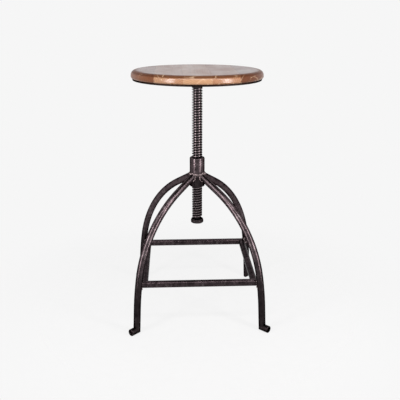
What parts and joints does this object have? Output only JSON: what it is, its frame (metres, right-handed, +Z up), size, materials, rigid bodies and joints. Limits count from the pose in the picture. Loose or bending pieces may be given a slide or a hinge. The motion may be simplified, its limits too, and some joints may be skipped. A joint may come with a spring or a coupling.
{
  "type": "screw-lift work stool",
  "caption": "Backless work stool: round board seat on a threaded spindle, hub on bent round-bar legs with turned-out feet, and a square foot ring.",
  "frame": {"origin": "on the floor, on the spindle's axis, midway between the four feet", "axes": "+Z up along the spindle, -Y towards the front pair of legs; the legs lie on the diagonals"},
  "size_m": [0.3838, 0.3838, 0.682],
  "materials": {
    "seat_wood": "stained hardwood boards, worn satin varnish",
    "frame_steel": "blackened steel bar, waxed, rubbed brighter on the bends",
    "pan_steel": "black enamelled sheet, chipped at the rim",
    "spindle_steel": "oiled dark steel, bright on the thread crests",
    "fastener_steel": "dull plain steel",
    "weld_steel": "rippled bead under black wax"
  },
  "bodies": {
    "frame": {"hub": "frame_steel", "leg_rear_right": "frame_steel", "leg_rear_left": "frame_steel", "leg_front_left": "frame_steel", "leg_front_right": "frame_steel", "foot_rear_right": "frame_steel", "foot_rear_left": "frame_steel", "foot_front_left": "frame_steel", "foot_front_right": "frame_steel", "stretcher_front": "frame_steel", "stretcher_right": "frame_steel", "stretcher_rear": "frame_steel", "stretcher_left": "frame_steel", "hub_welds": "weld_steel", "ring_welds": "weld_steel"},
    "lift_washer": {"stop_washer": "spindle_steel"},
    "seat": {"seat_board_1": "seat_wood", "seat_board_2": "seat_wood", "seat_board_3": "seat_wood", "seat_board_4": "seat_wood", "seat_board_5": "seat_wood", "seat_pan": "pan_steel", "pan_screws": "fastener_steel", "spindle_flange": "pan_steel", "flange_bolts": "fastener_steel", "flange_weld": "weld_steel", "spindle": "spindle_steel", "stop_collar": "spindle_steel", "stop_pin": "fastener_steel"}
  },
  "joints": [
    {"name": "seat_lift", "type": "slide", "parent": "frame", "child": "lift_washer", "axis": [0, 0, 1], "range_m": [-0.18309, 0.09738]},
    {"name": "seat_turn", "type": "hinge", "parent": "lift_washer", "child": "seat", "pos_m": [0, 0, 0.4], "axis": [0, 0, 1], "range_deg": [-9411, 5003]}
  ],
  "couplings": [
    {"joint": "seat_lift", "follows": "seat_turn", "m_per_rad": 0.0011141}
  ]
}
